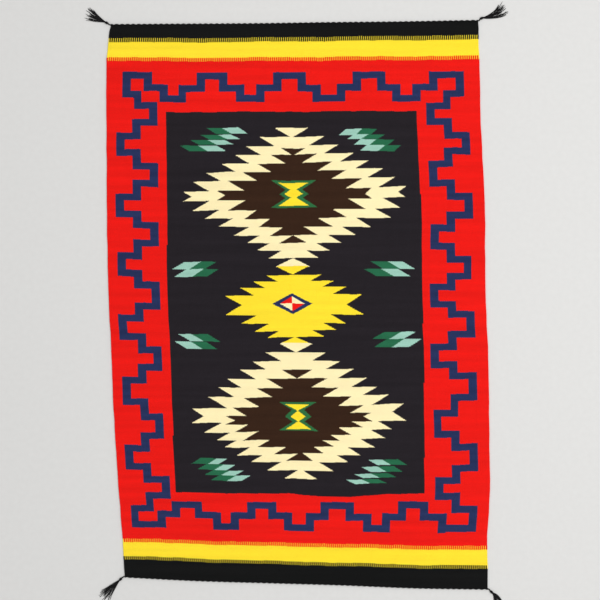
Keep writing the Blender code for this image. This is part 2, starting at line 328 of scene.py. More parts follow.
# Serrate diamonds. Each row's wide end is given by its tips: left mm and warp, right mm and warp.
# Rows of the upper half narrow downwards, those of the lower half upwards. The slope is the figure's,
# unless a row ends with a left and a right slope of its own.
diamonds = {
    "upperCream": {
        "colour": "cream",
        "slope": 0.49,
        "trim": 0.5,
        "above": (
            (342, 157.5, 341, 190), (372, 143.3, 370, 204.5), (402, 130.5, 398, 217.8),
            (431, 120.0, 425, 232), (460, 107.3, 450, 245), (488, 93.0, 473, 258.8),
            (517, 80.3, 502, 269.2), (550, 71.5, 532, 279.6),
        ),
        "notch": (566, 79.5, 551, 271),
        "below": (
            (581, 71.0, 567, 278.5), (612, 79.7, 602, 273.5), (639, 90.7, 634, 264.8),
            (665, 103.5, 664, 246.2), (694, 117.7, 690, 231.6), (717, 130, 716, 218.3),
            (741, 139, 742, 207.5), (766, 149.5, 765, 197.2),
        ),
    },
    "upperBrown": {
        "colour": "brown",
        "slope": 0.49,
        "above": (
            (408, 163.5, 408, 186), (430, 154.0, 426, 197), (459, 141, 453, 211),
            (487, 127.3, 480, 223.5), (515.5, 113.3, 507, 238.5), (548, 102.5, 538, 246.5),
        ),
        "notch": (563, 110.5, 557, 240.7),
        "below": (
            (580, 102.5, 572, 246.5), (612, 113, 606, 240.7), (640, 127.7, 634, 223, 0.39, 0.49),
            (665, 141.5, 664, 210, 0.38, 0.49), (693, 151.5, 690, 195.7, 0.44, 0.49), (717, 160.3, 716, 185.5),
        ),
    },
    "lowerCream": {
        "colour": "cream",
        "slope": 0.49,
        "trim": 0.5,
        "above": (
            (1073, 143.7, 1073, 201), (1103, 131, 1099, 213.7), (1130, 119, 1124, 226),
            (1162, 107, 1152.5, 238.2), (1191, 98.8, 1181, 247.5), (1223, 89.2, 1206, 258.5),
            (1262, 73.8, 1235, 272),
        ),
        "notch": (1286, 84.5, 1262, 261),
        "below": (
            (1309, 72.5, 1290, 274), (1341, 83.5, 1318, 260), (1364, 95, 1347.5, 253.8),
            (1386, 102, 1377.5, 244.2), (1411, 113.2, 1403.5, 230.8), (1433, 126, 1427, 219),
            (1459, 141, 1456, 204.5), (1485, 156.8, 1484, 189),
        ),
    },
    "lowerBrownLeft": {
        "colour": "brown",
        "slope": 0.49,
        "above": (
            (1130, 158.8, 1129, 173, 0.49, 0), (1160, 144.5, 1158, 173, 0.49, 0), (1191, 135, 1189, 173, 0.49, 0),
            (1222, 122.5, 1217, 173, 0.49, 0), (1255, 112, 1247, 173, 0.49, 0), (1283, 104.5, 1273, 173),
        ),
        "notch": (1297, 113.5, 1289, 173),
        "below": (
            (1312, 103.5, 1303, 173), (1335, 113, 1328, 173, 0.49, 0), (1362, 120.3, 1356, 173, 0.49, 0),
            (1384, 133.3, 1381, 173, 0.49, 0), (1406, 148.8, 1404, 173, 0.49, 0), (1427, 160, 1426, 173, 0.49, 0),
        ),
    },
    "lowerBrownRight": {
        "colour": "brown",
        "slope": 0.49,
        "above": (
            (1129, 173, 1129, 187, 0, 0.49), (1158, 173, 1156, 201, 0, 0.49), (1189, 173, 1185, 211, 0, 0.49),
            (1217, 173, 1213, 223, 0, 0.39), (1247, 173, 1242, 234, 0, 0.51), (1273, 173, 1264, 241),
        ),
        "notch": (1289, 173, 1277, 233.8),
        "below": (
            (1303, 173, 1292.5, 242.2), (1317, 173, 1313, 232.9, 0, 0.55), (1341, 173, 1338, 222, 0, 0.51),
            (1359, 173, 1357, 211.2, 0, 0.49), (1379, 173, 1377, 205.6, 0, 0.54), (1401, 173, 1399, 195.2, 0, 0.42),
            (1426, 173, 1425, 185.5, 0, 0.42),
        ),
    },
    "medallion": {
        "colour": "yellow",
        "slope": 0.53,
        "trim": 0.4,
        "above": (
            (822, 147.5, 820, 199.5), (842, 135, 840, 210.5), (864, 122.8, 858.5, 222.3),
            (890.5, 108.6, 881, 236.7),
        ),
        "notch": (921, 124.2, 915, 221.5),
        "below": (
            (954, 107.8, 947, 237.7), (980, 122.6, 976.5, 221.2), (1005.5, 134.3, 999, 211.5),
            (1025, 146, 1021, 199.7),
        ),
    },
}


def rowLine(tips):  # the straight line through a row's two tips, as start and slope
    leftDrop, leftWarp, rightDrop, rightWarp = tips[:4]
    rise = (rightDrop - leftDrop) / (rightWarp - leftWarp)
    return leftDrop - rise * leftWarp, rise


def rowShape(tips, nextTips, slope):  # a row from its tips in to the next row's line, up or down
    leftDrop, leftWarp, rightDrop, rightWarp = tips[:4]
    leftSlope, rightSlope = tips[4:] or (slope, slope)
    start, rise = rowLine(nextTips)
    way = 1 if start + rise * leftWarp > leftDrop else -1
    leftRun = (start + rise * leftWarp - leftDrop) * way / (1 - rise * leftSlope * way)
    rightRun = (start + rise * rightWarp - rightDrop) * way / (1 + rise * rightSlope * way)
    innerLeft = (leftWarp + leftSlope * leftRun, leftDrop + way * leftRun)
    innerRight = (rightWarp - rightSlope * rightRun, rightDrop + way * rightRun)
    corners = [(leftWarp, leftDrop), (rightWarp, rightDrop)]
    if innerRight[0] > innerLeft[0]:
        return corners + [innerRight, innerLeft]
    middle = ((innerLeft[0] + innerRight[0]) / 2, (innerLeft[1] + innerRight[1]) / 2)
    return corners + [middle]


def trimmed(tips, trim):  # a bright yarn's tips reach a little less far
    return (tips[0], tips[1] + trim, tips[2], tips[3] - trim, *tips[4:])


def paintDiamond(figure):
    trim = figure.get("trim", 0.0)
    above = [trimmed(tips, trim) for tips in figure["above"]]
    below = [trimmed(tips, trim) for tips in figure["below"]]
    for tips, nextTips in zip(above, above[1:]):
        paintShape(figure["colour"], rowShape(tips, nextTips, figure["slope"]), tilted=False)
    for tips, nextTips in zip(below[1:], below):
        paintShape(figure["colour"], rowShape(tips, nextTips, figure["slope"]), tilted=False)
    topTips, bottomTips, notch = above[-1], below[0], figure["notch"]
    waist = [
        (topTips[1], topTips[0]), (topTips[3], topTips[2]), (notch[3], notch[2]),
        (bottomTips[3], bottomTips[2]), (bottomTips[1], bottomTips[0]), (notch[1], notch[0]),
    ]
    paintShape(figure["colour"], waist, tilted=False)


for name in ("upperCream", "upperBrown", "lowerCream", "lowerBrownLeft", "lowerBrownRight", "medallion"):
    paintDiamond(diamonds[name])

# Small figures on the centre line: mm and half width in warps down each one's outline.
figures = (
    ("jade", 174.5, ((513, 21), (542, 7.5), (557, 13.5), (569, 8), (601.5, 21.5))),
    ("yellow", 174.0, ((520.5, 13.9), (542, 2.8), (556, 8.6), (568, 2.4), (595, 14.2))),
    ("jade", 172.8, ((1235, 17.4), (1260, 5.6), (1283, 12.3), (1299, 5.4), (1328, 18.3))),
    ("yellow", 172.6, ((1242.5, 11.5), (1263, 0.2), (1283, 7), (1298, 0.4), (1323.5, 11.6))),
    ("cream", 172.5, ((767, 0.5), (792, 15.2), (794, 15.2))),
    ("yellow", 172.3, ((792, 15.2), (819, 0.5))),
    ("yellow", 172.2, ((1023, 0.5), (1043, 13.0))),
    ("cream", 172.7, ((1042, 12.6), (1046, 15), (1072, 0.5))),
    ("navy", 171.2, ((882, 0.5), (914, 18.6), (948, 0.5))),
)
centreQuarters = {"warp": 171.2, "drop": 914.0, "halfWarps": 11.6, "top": 891.0, "bottom": 939.0}


def paintFigure(colour, centre, rows):
    right = [(centre + half, drop) for drop, half in rows]
    left = [(centre - half, drop) for drop, half in reversed(rows)]
    paintShape(colour, right + left, tilted=False)


for colour, centre, rows in figures:
    paintFigure(colour, centre, rows)
middle, level, half = centreQuarters["warp"], centreQuarters["drop"], centreQuarters["halfWarps"]
for colour, side, tip in (("red", -1, "top"), ("cream", 1, "top"), ("cream", -1, "bottom"), ("red", 1, "bottom")):
    corners = [(middle, level), (middle + side * half, level), (middle, centreQuarters[tip])]
    paintShape(colour, corners, tilted=False)

# Feathers: slanting bars in two greens. Each row: top mm, bottom mm, and its left end, join and right
# end in warps along its top; lean is how far its bottom edge lies to the right, and rise how many mm
# a warp its edges climb to the right.
feathers = (
    {"lean": 8.7, "left": "green", "right": "mint", "rows": (
        (341, 361, 94.6, 108.8, 124), (363, 379, 88.4, 105, 116.4),
        (380, 396, 78.8, 95.1, 110.4), (398, 417, 69.4, 86.4, 103.6),
    )},
    {"lean": -6.8, "left": "mint", "right": "green", "rows": (
        (347, 367, 224.9, 240.2, 254), (365, 380, 232.1, 245.6, 260.8),
        (381, 399, 238.2, 252.8, 269.6), (399, 418, 243.9, 260.8, 275.8),
    )},
    {"lean": -9, "left": "green", "right": "mint", "rows": (
        (1423, 1443, 80, 95, 104.5), (1442, 1461, 85.4, 101, 112),
        (1461, 1478, 91.4, 106.4, 119.4), (1477, 1495, 97, 112, 126),
    )},
    {"lean": 8.4, "rise": 0.12, "left": "mint", "right": "green", "rows": (
        (1417.5, 1434, 237.3, 250, 265.2), (1440, 1457, 230.8, 245.5, 261),
        (1463, 1476, 223.3, 238.7, 255), (1482, 1495, 215.3, 230.2, 245.4),
    )},
    {"lean": -11, "left": "mint", "right": "green", "rows": (
        (780, 804, 71.8, 87.4, 101.8), (804, 829, 73.4, 90, 103.6),
    )},
    {"lean": 11, "left": "mint", "right": "green", "rows": (
        (1018, 1041, 63.8, 76, 91.4), (1042, 1066, 60, 74.6, 88.8),
    )},
    {"lean": 11.5, "left": "green", "right": "mint", "rows": (
        (775, 799, 244.8, 260.7, 274.2), (799, 823, 238.6, 254.6, 270.2),
    )},
    {"lean": -12, "left": "green", "right": "mint", "rows": (
        (1003, 1026, 255.8, 271.4, 285.2), (1026, 1052.5, 257.3, 273.6, 289.6),
    )},
)
for group in feathers:
    lean, rise = group["lean"], group.get("rise", 0.0)
    for top, bottom, left, join, right in group["rows"]:
        for colour, start, stop in ((group["left"], left, join), (group["right"], join, right)):
            startRise, stopRise = rise * (start - join), rise * (stop - join)
            corners = [
                (start, top - startRise), (stop, top - stopRise),
                (stop + lean, bottom - stopRise), (start + lean, bottom - startRise),
            ]
            paintShape(colour, corners, tilted=False)
print("stage 2: weave charted,", weave["warps"], "warps by", pickCount, "picks")


def addNode(tree, kind, **settings):
    node = tree.nodes.new(kind)
    for name, value in settings.items():
        setattr(node, name, value)
    return node


def joinNodes(tree, rows):  # each row: from a node, its output, to a node, its input
    for source, output, target, entry in rows:
        tree.links.new(source.outputs[output], target.inputs[entry])


def newMaterial(name):
    material = bpy.data.materials.new(name)
    material.use_nodes = True
    material.node_tree.nodes.clear()
    return material


# Wool: colour as worn, how much it varies, and how hairy it looks.
wool = {
    "red": {"colour": (0.815, 0.0108, 0.0074), "streaks": 0.07, "hair": 0.10},
    "yellow": {"colour": (0.965, 0.750, 0.036), "streaks": 0.05, "hair": 0.06},
    "black": {"colour": (0.0068, 0.0070, 0.0070), "streaks": 0.16, "hair": 0.30},
    "navy": {"colour": (0.0215, 0.0335, 0.1060), "streaks": 0.16, "hair": 0.16},
    "charcoal": {"colour": (0.0190, 0.0155, 0.0193), "streaks": 0.10, "hair": 0.22},
    "cream": {"colour": (0.955, 0.842, 0.500), "streaks": 0.04, "hair": 0.05},
    "brown": {"colour": (0.0402, 0.0177, 0.0091), "streaks": 0.10, "hair": 0.18},
    "green": {"colour": (0.0225, 0.1500, 0.0710), "streaks": 0.08, "hair": 0.14},
    "mint": {"colour": (0.342, 0.590, 0.490), "streaks": 0.07, "hair": 0.08},
    "jade": {"colour": (0.0300, 0.1650, 0.0560), "streaks": 0.08, "hair": 0.14},
    "tassel": {"colour": (0.0100, 0.0095, 0.0100), "streaks": 0.12, "hair": 0.35},
    "warp": {"colour": (0.700, 0.640, 0.520), "streaks": 0.05, "hair": 0.06},
}
woolSurface = {
    "streakScale": (2.2, 46.0, 1.0),
    "streakDetail": 4.0,
    "speckScale": 520.0,
    "speckDetail": 3.0,
    "noiseRange": (0.3, 0.7),
    # how much painted shade darkens the colour in the grooves between turns
    "pickPaintedShade": 0.30,
    "bumpHeight": 0.00035,
    "bumpStrength": 0.6,
    "roughness": 0.92,
    "specular": 0.06,
    "sheen": 0.02,
    "sheenRoughness": 0.5,
}


def woolMaterial(name):
    look = wool[name]
    material = newMaterial(name + "_yarn")
    tree = material.node_tree
    output = addNode(tree, "ShaderNodeOutputMaterial")
    shader = addNode(tree, "ShaderNodeBsdfPrincipled")
    for label, key in (
        ("Roughness", "roughness"), ("Specular IOR Level", "specular"),
        ("Sheen Weight", "sheen"), ("Sheen Roughness", "sheenRoughness"),
    ):
        shader.inputs[label].default_value = woolSurface[key]
    place = addNode(tree, "ShaderNodeTexCoord")
    # Dye streaks lie along the weft, so they are long in x and short in y.
    stretch = addNode(tree, "ShaderNodeMapping")
    stretch.inputs["Scale"].default_value = woolSurface["streakScale"]
    streaks = addNode(tree, "ShaderNodeTexNoise")
    streaks.inputs["Scale"].default_value = 1.0
    streaks.inputs["Detail"].default_value = woolSurface["streakDetail"]
    specks = addNode(tree, "ShaderNodeTexNoise")
    specks.inputs["Scale"].default_value = woolSurface["speckScale"]
    specks.inputs["Detail"].default_value = woolSurface["speckDetail"]
    # Each turn of weft over a warp is a small round bump, and the grooves on both sides are painted darker in the
    # colour as painted shade.
    turns = addNode(tree, "ShaderNodeAttribute", attribute_name="turns")
    phase = addNode(tree, "ShaderNodeMath", operation="MULTIPLY")
    phase.inputs[1].default_value = 2 * math.pi
    wave = addNode(tree, "ShaderNodeMath", operation="COSINE")

    def scaled(source, low, high, span):
        node = addNode(tree, "ShaderNodeMapRange")
        for socket, value in zip(("From Min", "From Max", "To Min", "To Max"), (*span, low, high)):
            node.inputs[socket].default_value = value
        tree.links.new(source, node.inputs["Value"])
        return node.outputs["Result"]

    def times(first, second):
        node = addNode(tree, "ShaderNodeMath", operation="MULTIPLY")
        tree.links.new(first, node.inputs[0])
        tree.links.new(second, node.inputs[1])
        return node.outputs["Value"]

    shades = []
    for noise, depth in ((streaks, look["streaks"]), (specks, look["hair"])):
        shades.append(scaled(noise.outputs["Fac"], 1 - depth, 1 + depth, woolSurface["noiseRange"]))
    # Painted shade: the colour is darkened in the grooves between turns of weft.
    half = woolSurface["pickPaintedShade"] / 2
    paintedGrooveShade = scaled(wave.outputs["Value"], 1 + half, 1 - half, (-1.0, 1.0))
    tint = addNode(tree, "ShaderNodeHueSaturation")
    tint.inputs["Color"].default_value = (*look["colour"], 1.0)
    tree.links.new(times(times(*shades), paintedGrooveShade), tint.inputs["Value"])
    bump = addNode(tree, "ShaderNodeBump")
    bump.inputs["Strength"].default_value = woolSurface["bumpStrength"]
    bump.inputs["Distance"].default_value = woolSurface["bumpHeight"]
    height = addNode(tree, "ShaderNodeMath", operation="SUBTRACT")
    joinNodes(tree, (
        (place, "Object", stretch, "Vector"),
        (stretch, "Vector", streaks, "Vector"),
        (place, "Object", specks, "Vector"),
        (turns, "Fac", phase, 0),
        (phase, "Value", wave, 0),
        (specks, "Fac", height, 0),
        (wave, "Value", height, 1),
        (height, "Value", bump, "Height"),
        (bump, "Normal", shader, "Normal"),
        (tint, "Color", shader, "Base Color"),
        (shader, "BSDF", output, "Surface"),
    ))
    return material


materials = {name: woolMaterial(name) for name in wool}
print("stage 3: wool materials made")


# One tree sweeps a yarn's section along every line of a mesh of edges.
def yarnTree():
    tree = bpy.data.node_groups.new("yarnSweep", "GeometryNodeTree")
    face = tree.interface
    face.new_socket("Geometry", in_out="INPUT", socket_type="NodeSocketGeometry")
    for label, value in (("Width", 0.0036), ("Thickness", 0.004)):
        face.new_socket(label, in_out="INPUT", socket_type="NodeSocketFloat").default_value = value
    face.new_socket("Sides", in_out="INPUT", socket_type="NodeSocketInt").default_value = 8
    face.new_socket("Yarn", in_out="INPUT", socket_type="NodeSocketMaterial")
    face.new_socket("Geometry", in_out="OUTPUT", socket_type="NodeSocketGeometry")
    start = addNode(tree, "NodeGroupInput")
    finish = addNode(tree, "NodeGroupOutput")
    lines = addNode(tree, "GeometryNodeMeshToCurve")
    upright = addNode(tree, "GeometryNodeSetCurveNormal", mode="Z_UP")
    fat = addNode(tree, "GeometryNodeInputNamedAttribute", data_type="FLOAT")
    fat.inputs["Name"].default_value = "fat"
    radius = addNode(tree, "GeometryNodeSetCurveRadius")
    circle = addNode(tree, "GeometryNodeCurvePrimitiveCircle")
    circle.inputs["Radius"].default_value = 0.5
    # The ring is turned by half a side and stretched, so that flats lie on top and at both edges.
    halfSide = addNode(tree, "ShaderNodeMath", operation="DIVIDE")
    halfSide.inputs[0].default_value = math.pi
    turn = addNode(tree, "ShaderNodeCombineXYZ")
    flat = addNode(tree, "ShaderNodeMath", operation="COSINE")
    wide = addNode(tree, "ShaderNodeMath", operation="DIVIDE")
    thick = addNode(tree, "ShaderNodeMath", operation="DIVIDE")
    size = addNode(tree, "ShaderNodeCombineXYZ")
    size.inputs["Z"].default_value = 1.0
    turned = addNode(tree, "GeometryNodeTransform")
    stretched = addNode(tree, "GeometryNodeTransform")
    sweep = addNode(tree, "GeometryNodeCurveToMesh")
    sweep.inputs["Fill Caps"].default_value = True
    normal = addNode(tree, "GeometryNodeInputNormal")
    parts = addNode(tree, "ShaderNodeSeparateXYZ")
    along = addNode(tree, "ShaderNodeMath", operation="ABSOLUTE")
    isSide = addNode(tree, "ShaderNodeMath", operation="LESS_THAN")
    isSide.inputs[1].default_value = 0.75
    smooth = addNode(tree, "GeometryNodeSetShadeSmooth")
    real = addNode(tree, "GeometryNodeRealizeInstances")
    paint = addNode(tree, "GeometryNodeSetMaterial")
    joinNodes(tree, (
        (start, "Geometry", lines, "Mesh"),
        (lines, "Curve", upright, "Curve"),
        (upright, "Curve", radius, "Curve"),
        (fat, "Attribute", radius, "Radius"),
        (radius, "Curve", sweep, "Curve"),
        (fat, "Attribute", sweep, "Scale"),
        (start, "Sides", circle, "Resolution"),
        (start, "Sides", halfSide, 1),
        (halfSide, "Value", turn, "Z"),
        (halfSide, "Value", flat, 0),
        (start, "Width", wide, 0),
        (flat, "Value", wide, 1),
        (start, "Thickness", thick, 0),
        (flat, "Value", thick, 1),
        (wide, "Value", size, "X"),
        (thick, "Value", size, "Y"),
        (circle, "Curve", turned, "Geometry"),
        (turn, "Vector", turned, "Rotation"),
        (turned, "Geometry", stretched, "Geometry"),
        (size, "Vector", stretched, "Scale"),
        (stretched, "Geometry", sweep, "Profile Curve"),
        (sweep, "Mesh", smooth, "Geometry"),
        (normal, "Normal", parts, "Vector"),
        (parts, "Y", along, 0),
        (along, "Value", isSide, 0),
        (isSide, "Value", smooth, "Selection"),
        (smooth, "Geometry", real, "Geometry"),
        (real, "Geometry", paint, "Geometry"),
        (start, "Yarn", paint, "Material"),
        (paint, "Geometry", finish, "Geometry"),
    ))
    return tree


sweepTree = yarnTree()


def setInput(modifier, label, value):
    for item in modifier.node_group.interface.items_tree:
        if item.item_type == "SOCKET" and item.in_out == "INPUT" and item.name == label:
            modifier[item.identifier] = value


mapLayout = {"heightShift": 0.35, "size": (0.49, 0.99), "margin": 0.005, "underShift": 0.5}


def planMap(mesh):  # upper faces in one half of the map, under faces in the other
    count = len(mesh.loops)
    corner = np.empty(count, np.int32)
    mesh.loops.foreach_get("vertex_index", corner)
    place = np.empty(len(mesh.vertices) * 3)
    mesh.vertices.foreach_get("co", place)
    place = place.reshape(-1, 3)
    normals = np.empty(len(mesh.polygons) * 3)
    mesh.polygons.foreach_get("normal", normals)
    sizes = np.empty(len(mesh.polygons), np.int32)
    mesh.polygons.foreach_get("loop_total", sizes)
    under = np.repeat(normals.reshape(-1, 3)[:, 2] < 0, sizes)
    # Height shifts a place a little, so upright faces keep some width.
    flat = place[:, :2] + mapLayout["heightShift"] * place[:, 2:3]
    flat = (flat - flat.min(0)) / np.ptp(flat, axis=0)
    uv = flat[corner] * mapLayout["size"] + mapLayout["margin"]
    uv[under, 0] += mapLayout["underShift"]
    layer = mesh.uv_layers.new(name="OFBake")
    layer.data.foreach_set("uv", uv.astype(np.float32).ravel())


# Each line is its points, its turns and how fat it is, as three arrays of one length.
def sweptPiece(name, lines, yarn, width, thickness, sides):
    points = np.concatenate([line[0] for line in lines])
    turns = np.concatenate([line[1] for line in lines]).astype(np.float32)
    fat = np.concatenate([line[2] for line in lines]).astype(np.float32)
    edges, first = [], 0
    for line in lines:
        count = len(line[0])
        edges.extend((first + step, first + step + 1) for step in range(count - 1))
        first += count
    mesh = bpy.data.meshes.new(name)
    mesh.from_pydata(points.tolist(), edges, [])
    mesh.attributes.new("turns", "FLOAT", "POINT").data.foreach_set("value", turns)
    mesh.attributes.new("fat", "FLOAT", "POINT").data.foreach_set("value", fat)
    piece = bpy.data.objects.new(name, mesh)
    bpy.context.scene.collection.objects.link(piece)
    modifier = piece.modifiers.new("sweep", "NODES")
    modifier.node_group = sweepTree
    setInput(modifier, "Width", width)
    setInput(modifier, "Thickness", thickness)
    setInput(modifier, "Sides", sides)
    setInput(modifier, "Yarn", materials[yarn])
    bpy.context.view_layer.update()
    graph = bpy.context.evaluated_depsgraph_get()
    made = bpy.data.meshes.new_from_object(
        piece.evaluated_get(graph), preserve_all_data_layers=True, depsgraph=graph
    )
    piece.modifiers.remove(modifier)
    piece.data = made
    made.name = name
    if "fat" in made.attributes:
        made.attributes.remove(made.attributes["fat"])
    planMap(made)
    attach(piece, "root")
    print("  made", name, "with", sum(len(p.vertices) - 2 for p in made.polygons), "triangles")
    return piece


# Weft: each warp shows as one rib, cut into stretches of one colour.
noise = np.random.default_rng(weave["seed"])
ribLines = {name: [] for name in yarns}
for number in range(weave["warps"]):
    column = chart[number]
    changes = (np.diff(column) != 0) | (np.diff(plump[number]) != 0)
    breaks = [0, *(np.flatnonzero(changes) + 1).tolist(), pickCount]
    ribStart, ribStop = ribEnds(number + 0.5)
    half = 0.5 * (number % 2)  # a turn over one warp lies between two turns over the next
    sway = noise.normal(0.0, weave["sway"])
    swayPhase = noise.uniform(0, 2 * math.pi)
    for first, last in zip(breaks, breaks[1:]):
        start = ribStart if first == 0 else (first + half) * weave["pick"]
        stop = ribStop if last == pickCount else (last + half) * weave["pick"]
        if stop - start < weave["shortestRib"] * weave["pick"]:
            continue
        count = max(2, int(math.ceil((stop - start) / weave["pointSpacing"])) + 1)
        drops = np.linspace(start, stop, count)
        x, y = chartPlace(np.full(count, number + 0.5), drops)
        if 0 < number < weave["warps"] - 1:
            x = x + sway * np.sin(drops / weave["swayLength"] + swayPhase)
        swell = plump[number, first]
        z = np.full(count, weave["ribThickness"] / 2 * max(swell, 1.0))
        fat = swell * (1 + weave["slub"] * noise.uniform(-1.0, 0.0, count))
        ribLines[yarns[column[first]]].append(
            (np.stack([x, y, z], axis=1), drops / weave["pick"] + half, fat)
        )

for colour in yarns:
    groups = {"": ribLines[colour]}
    if colour in ("red", "charcoal"):  # large areas are split, so that no piece is too heavy
        groups = {"_left": [], "_right": []}
        for line in ribLines[colour]:
            groups["_left" if line[0][:, 0].mean() < 0 else "_right"].append(line)
    for suffix, lines in groups.items():
        sweptPiece(
                "weft_" + colour + suffix, lines, colour,
                weave["ribWidth"], weave["ribThickness"], weave["ribSides"],
            )
print("stage 4: weft ribs swept")

# The warp sheet that the weft is beaten over. It is the cloth itself, hidden inside the weft.
warpSheet = {"thickness": 0.0009, "endInset": 1.2, "sideInset": 1.2, "columns": 24, "rows": 90}


def makeWarpSheet():
    shape = bmesh.new()
    grid = []
    warps = np.linspace(warpSheet["sideInset"], weave["warps"] - warpSheet["sideInset"], warpSheet["columns"] + 1)
    starts, stops = np.array([ribEnds(warp) for warp in warps]).T
    runs = stops - starts - 2 * warpSheet["endInset"]
    for row in range(warpSheet["rows"] + 1):
        x, y = chartPlace(warps, starts + warpSheet["endInset"] + runs * (row / warpSheet["rows"]))
        grid.append([shape.verts.new((a, b, weave["ribThickness"] / 2)) for a, b in zip(x, y)])
    for above, below in zip(grid, grid[1:]):
        for column in range(warpSheet["columns"]):
            shape.faces.new((below[column], below[column + 1], above[column + 1], above[column]))
    mesh = bpy.data.meshes.new("warp_sheet")
    shape.to_mesh(mesh)
    shape.free()
    piece = bpy.data.objects.new("warp_sheet", mesh)
    bpy.context.scene.collection.objects.link(piece)
    solid = piece.modifiers.new("thickness", "SOLIDIFY")
    solid.thickness = warpSheet["thickness"]
    solid.offset = 0.0
    bpy.context.view_layer.update()
    graph = bpy.context.evaluated_depsgraph_get()
    made = bpy.data.meshes.new_from_object(piece.evaluated_get(graph), depsgraph=graph)
    piece.modifiers.remove(solid)
    piece.data = made
    made.name = "warp_sheet"
    made.attributes.new("turns", "FLOAT", "POINT")
    made.materials.append(materials["warp"])
    planMap(made)
    area = sum(face.area for face in made.polygons if face.normal.z > 0.5)
    return piece, area


warpPiece, warpArea = makeWarpSheet()
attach(warpPiece, "root")
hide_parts("rug_panel")
print("stage 5: warp sheet made, flat area", round(warpArea, 3), "square metres")

# End cords: two plies of three yarns, twisted along each end.
endCord = {
    "halfWidth": 0.0034,
    "halfTurn": 0.0182,
    "pliesRadius": 0.00210,
    "pliesReach": 0.00270,
    "yarnsRadius": 0.00055,
    "yarn": 0.00122,
    "core": 2.6,
    "yarnTwist": 2.5,
    "yarnSides": 6,
    "turnSpacing": 0.0014,
    "turnShift": 0.3,
    "pointsPerHalfTurn": 9,
    "routePoints": 241,
}


def makeEndCord(name, end):
    shares = np.linspace(0.0, 1.0, endCord["routePoints"])
    sign = 1 if end == 0 else -1
    # The cord lies against the weave's end, from one corner to the other.
    corner = []
    for side in (0, 1):
        y = endY(float(side), end) - sign * endInset
        corner.append(sideX(y, side))
    routeX = corner[0] + (corner[1] - corner[0]) * shares + moveX
    routeY = np.array([endY(share, end) for share in shares]) - sign * endCord["halfWidth"] + moveY
    lengths = np.concatenate([[0], np.cumsum(np.hypot(np.diff(routeX), np.diff(routeY)))])
    halfTurns = round(lengths[-1] / endCord["halfTurn"])
    count = halfTurns * endCord["pointsPerHalfTurn"] + 1
    at = np.linspace(0, lengths[-1], count)
    turns = at / endCord["turnSpacing"]
    x, y = np.interp(at, lengths, routeX), np.interp(at, lengths, routeY)
    turn = math.pi * np.linspace(0, halfTurns, count)
    lines = []
    for ply in range(2):
        for yarn in range(3):
            big = turn + math.pi * ply
            small = -turn * endCord["yarnTwist"] + 2 * math.pi * yarn / 3
            across = endCord["pliesReach"] * np.cos(big) + endCord["yarnsRadius"] * np.cos(small)
            up = endCord["pliesRadius"] * np.sin(big) + endCord["yarnsRadius"] * np.sin(small)
            points = np.stack([x, y + across, endCord["halfWidth"] + up], axis=1)
            lines.append((points, turns + endCord["turnShift"] * yarn, np.ones(count)))
    core = np.stack([x, y, np.full(count, endCord["halfWidth"])], axis=1)
    lines.append((core, turns, np.full(count, endCord["core"])))
    piece = sweptPiece(name + "_yarns", lines, "black", endCord["yarn"], endCord["yarn"], endCord["yarnSides"])
    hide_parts(name)
    return (x[0], y[0]), (x[-1], y[-1])


topLeft, topRight = makeEndCord("end_cord_top", 0)
bottomLeft, bottomRight = makeEndCord("end_cord_bottom", 1)
print("stage 6: end cords twisted")

# Tassels: the cord ends knotted, and their yarns fanned on the floor. Angles in degrees from +X.
tassels = {
    "top_left": {
        "start": topLeft, "out": -1, "neck": (142.0, 0.010), "fan": (140.0, 178.0),
        "curl": -6.0, "crowd": 1.5, "longest": 0.074,
    },
    "top_right": {
        "start": topRight, "out": 1, "neck": (60.0, 0.010), "fan": (18.0, -14.0),
        "curl": 40.0, "crowd": 1.0, "longest": 0.086,
    },
    "bottom_left": {
        "start": bottomLeft, "out": -1, "neck": (216.0, 0.010), "fan": (211.0, 241.0),
        "curl": 3.0, "crowd": 1.5, "longest": 0.088,
    },
    "bottom_right": {
        "start": bottomRight, "out": 1, "neck": (-50.0, 0.012), "fan": (-14.0, -66.0),
        "curl": -56.0, "crowd": 1.0, "longest": 0.056,
    },
}
tasselYarn = {
    "strands": 34,
    "width": 0.0013,
    "sides": 5,
    "turnSpacing": 0.0016,
    "shortestShare": 0.70,
    "points": 15,
    "fanSpread": 0.02,
    "wander": 4.0,
    "waves": 9,
    "waveSize": 0.10,
    "tips": (0.9, 0.75, 0.45),
    "bundle": 0.0021,
    "bundleShape": ((0.6, 0.6), (0.7, 0.8), (0.8, 0.9), (1.1, 1.0), (1.3, 1.1), (1.0, 0.9)),  # spread, lift
    "goldenShare": 0.381966,
    "height": 0.0030,
    "lowest": 0.0008,
    "rest": 0.0009,
    "pile": 0.0013,
    "lowPile": 0.2,
    "settling": 3.5,
    "seed": 31,
}
tasselKnot = {
    "length": 0.011,
    "radius": 0.0027,
    "wraps": 3.2,
    "pointsPerWrap": 14,
    "firstAngle": 0.6,
    "turnsFrom": 0.0008,
    "turnsLength": 0.0088,
    "bulge": 0.25,
    "breadth": 1.25,
    "lift": 0.92,
    "height": 0.0039,
    "fat": 1.6,
}


def tasselMiddle(look):  # out of the cord, round the neck and through the knot
    neckAngle, neckLength = math.radians(look["neck"][0]), look["neck"][1]
    base = 0.0 if look["out"] > 0 else math.pi
    mouth = math.radians((look["fan"][0] + look["fan"][1]) / 2)
    knot = tasselKnot["length"]
    middle = [np.array(look["start"])]
    for step, angle in (
        (neckLength / 2, (base + neckAngle) / 2), (neckLength / 2, neckAngle),
        (knot * 0.25, (2 * neckAngle + mouth) / 3), (knot * 0.35, (neckAngle + mouth) / 2), (knot * 0.4, mouth),
    ):
        middle.append(middle[-1] + step * np.array([math.cos(angle), math.sin(angle)]))
    return np.array(middle)


